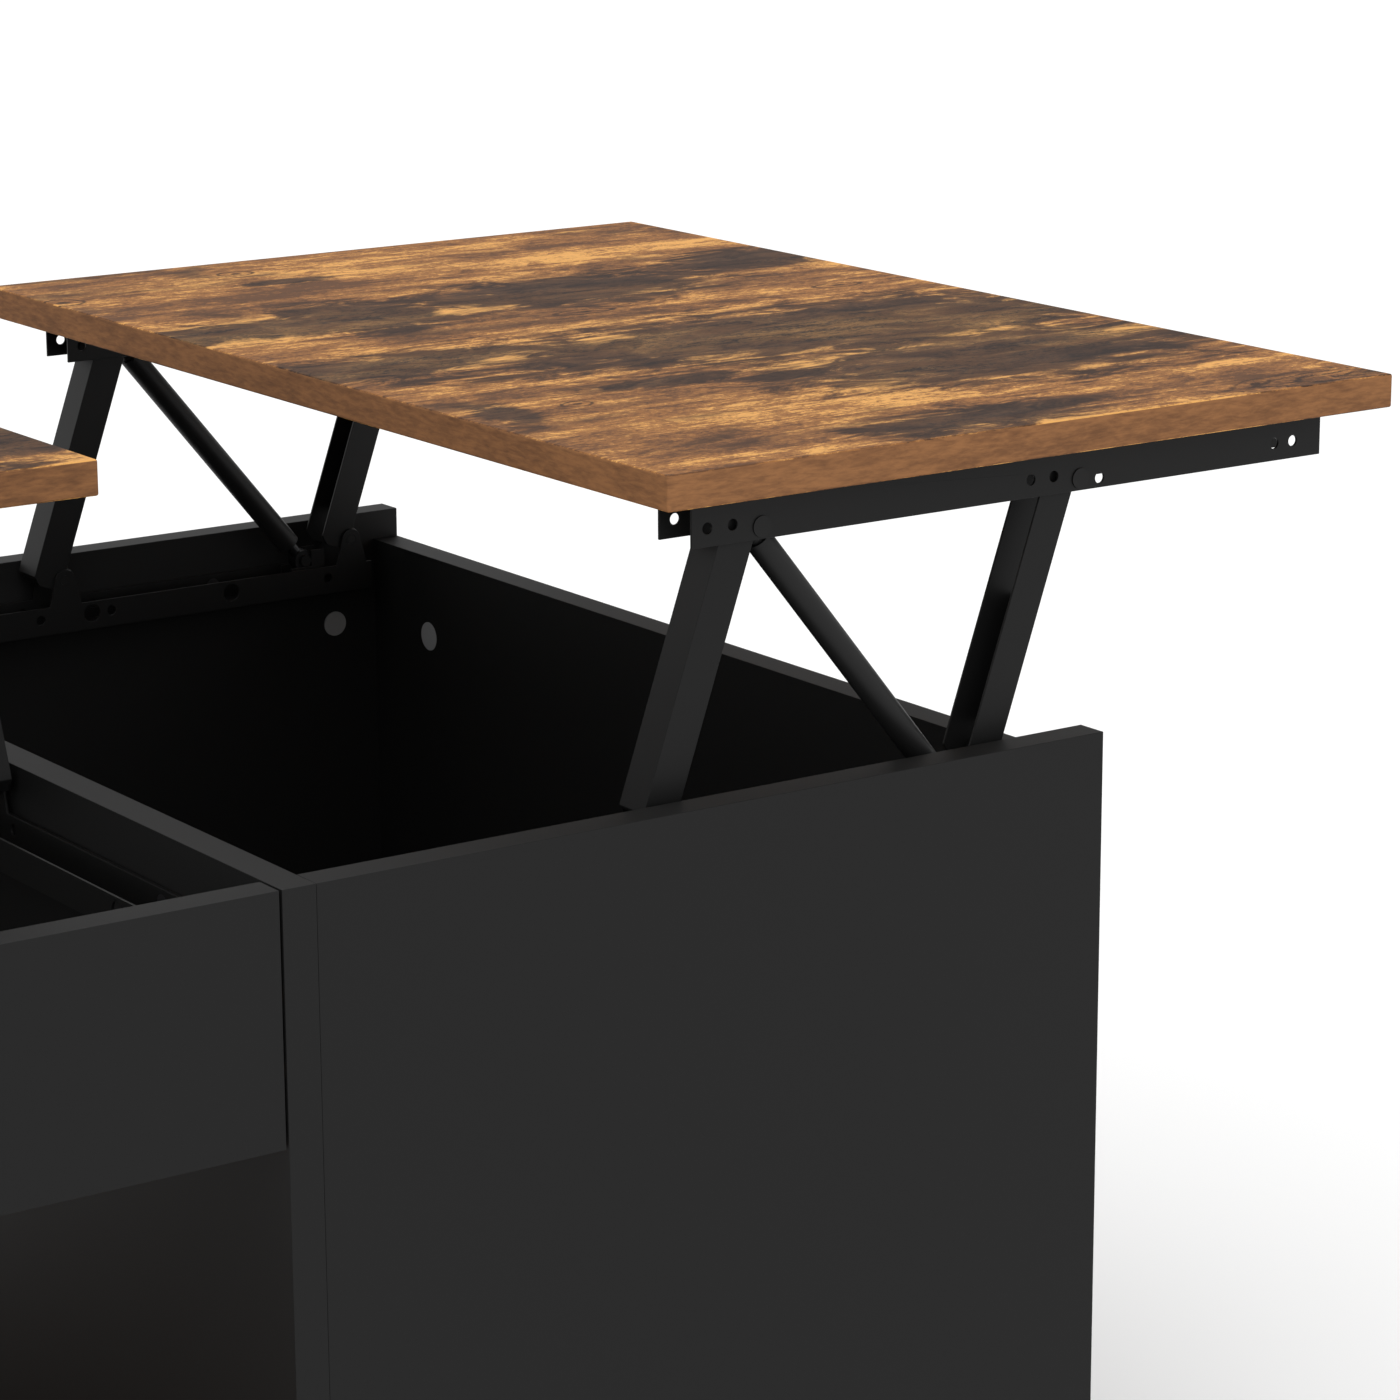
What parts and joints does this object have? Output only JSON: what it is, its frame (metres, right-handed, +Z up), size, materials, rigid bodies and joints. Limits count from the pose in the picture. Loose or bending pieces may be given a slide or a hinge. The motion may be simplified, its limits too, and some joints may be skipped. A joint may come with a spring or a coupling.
{
  "type": "lift top coffee table",
  "caption": "Storage coffee table whose two wooden tops lift and slide on spring-assisted parallel linkages, over deep compartments and an open shelf.",
  "frame": {"origin": "on the floor, under the middle of the raised table's outline", "axes": "+Z up; +X from the left end to the right end, the way the right top lifts; +Y from the near side to the far side, the way the left top lifts"},
  "size_m": [1.1634, 0.7634, 0.5736],
  "materials": {
    "body_board": "matte black laminate",
    "shelf_board": "rustic brown wood laminate",
    "top_board": "rustic brown wood laminate",
    "rail_steel": "satin black",
    "arm_steel": "satin black",
    "spring_tube": "satin black",
    "rod_steel": "bright",
    "pins": "dark zinc",
    "washer_nylon": "black nylon",
    "zinc": "zinc die casting",
    "disc_plastic": "light grey",
    "dowel_wood": "beech",
    "glide_plastic": "black",
    "spacer_steel": "satin black"
  },
  "bodies": {
    "frame": {"near_panel": "body_board", "far_panel": "body_board", "right_end_panel": "body_board", "divider": "body_board", "left_end_panel": "body_board", "front_apron": "body_board", "rear_apron": "body_board", "left_floor": "body_board", "left_shelf": "shelf_board", "right_floor": "body_board", "dowels": "dowel_wood", "cam_locks": "zinc", "cam_bolts": "zinc", "cover_discs": "disc_plastic", "floor_glides": "glide_plastic", "right_near_lower_rail": "rail_steel", "right_near_rail_spacer": "spacer_steel", "right_far_lower_rail": "rail_steel", "right_far_rail_spacer": "spacer_steel", "right_foot_rivets": "pins", "right_rail_screws": "pins", "left_inner_lower_rail": "rail_steel", "left_inner_rail_spacer": "spacer_steel", "left_outer_lower_rail": "rail_steel", "left_outer_rail_spacer": "spacer_steel", "left_foot_rivets": "pins", "left_rail_screws": "pins"},
    "right_lid": {"right_top": "top_board", "right_near_upper_rail": "rail_steel", "right_far_upper_rail": "rail_steel", "right_upper_rivets": "pins", "right_pivot_washers": "washer_nylon", "right_top_screws": "pins"},
    "right_front_arms": {"right_near_front_arm": "arm_steel", "right_far_front_arm": "arm_steel"},
    "right_rear_arms": {"right_near_rear_arm": "arm_steel", "right_far_rear_arm": "arm_steel"},
    "right_spring_barrels": {"right_near_spring_barrel": "spring_tube", "right_far_spring_barrel": "spring_tube"},
    "right_spring_rods": {"right_near_spring_rod": "rod_steel", "right_far_spring_rod": "rod_steel", "right_spring_pins": "pins"},
    "left_lid": {"left_top": "top_board", "left_inner_upper_rail": "rail_steel", "left_outer_upper_rail": "rail_steel", "left_upper_rivets": "pins", "left_pivot_washers": "washer_nylon", "left_top_screws": "pins"},
    "left_front_arms": {"left_inner_front_arm": "arm_steel", "left_outer_front_arm": "arm_steel"},
    "left_rear_arms": {"left_inner_rear_arm": "arm_steel", "left_outer_rear_arm": "arm_steel"},
    "left_spring_barrels": {"left_inner_spring_barrel": "spring_tube", "left_outer_spring_barrel": "spring_tube"},
    "left_spring_rods": {"left_inner_spring_rod": "rod_steel", "left_outer_spring_rod": "rod_steel", "left_spring_pins": "pins"}
  },
  "joints": [
    {"name": "right_lift", "type": "hinge", "parent": "frame", "child": "right_front_arms", "pos_m": [0.2085, 0, 0.42731], "axis": [0, -1, 0], "range_deg": [0, 112.7]},
    {"name": "right_lid_pivot", "type": "hinge", "parent": "right_front_arms", "child": "right_lid", "pos_m": [0.24915, 0, 0.5434], "axis": [0, -1, 0], "range_deg": [-113, 0.2]},
    {"name": "right_rear_arm_pivot", "type": "hinge", "parent": "frame", "child": "right_rear_arms", "pos_m": [0.3758, 0, 0.42731], "axis": [0, -1, 0], "range_deg": [-0.2, 113]},
    {"name": "right_spring_turn", "type": "hinge", "parent": "right_lid", "child": "right_spring_barrels", "pos_m": [0.24915, 0, 0.5434], "axis": [0, -1, 0], "range_deg": [-0.2, 50.7]},
    {"name": "right_spring_slide", "type": "slide", "parent": "right_spring_barrels", "child": "right_spring_rods", "axis": [0.6309, 0, -0.7759], "range_m": [-0.0005, 0.10427]},
    {"name": "left_lift", "type": "hinge", "parent": "frame", "child": "left_front_arms", "pos_m": [0.0133, -0.1467, 0.42731], "axis": [1, 0, 0], "range_deg": [0, 112.7]},
    {"name": "left_lid_pivot", "type": "hinge", "parent": "left_front_arms", "child": "left_lid", "pos_m": [0.0133, -0.10605, 0.5434], "axis": [1, 0, 0], "range_deg": [-113, 0.2]},
    {"name": "left_rear_arm_pivot", "type": "hinge", "parent": "frame", "child": "left_rear_arms", "pos_m": [0.0133, 0.0206, 0.42731], "axis": [1, 0, 0], "range_deg": [-0.2, 113]},
    {"name": "left_spring_turn", "type": "hinge", "parent": "left_lid", "child": "left_spring_barrels", "pos_m": [0.0133, -0.10605, 0.5434], "axis": [1, 0, 0], "range_deg": [-0.2, 50.7]},
    {"name": "left_spring_slide", "type": "slide", "parent": "left_spring_barrels", "child": "left_spring_rods", "axis": [0, 0.6309, -0.7759], "range_m": [-0.0005, 0.10427]}
  ],
  "couplings": [
    {"joint": "right_lid_pivot", "follows": "right_lift", "ratio": -1},
    {"joint": "right_rear_arm_pivot", "follows": "right_lift", "ratio": 1},
    {"joint": "right_spring_turn", "follows": "right_lift", "ratio": 0.4477},
    {"joint": "right_spring_slide", "follows": "right_lift", "m_per_rad": 0.052711},
    {"joint": "left_lid_pivot", "follows": "left_lift", "ratio": -1},
    {"joint": "left_rear_arm_pivot", "follows": "left_lift", "ratio": 1},
    {"joint": "left_spring_turn", "follows": "left_lift", "ratio": 0.4477},
    {"joint": "left_spring_slide", "follows": "left_lift", "m_per_rad": 0.052711}
  ]
}
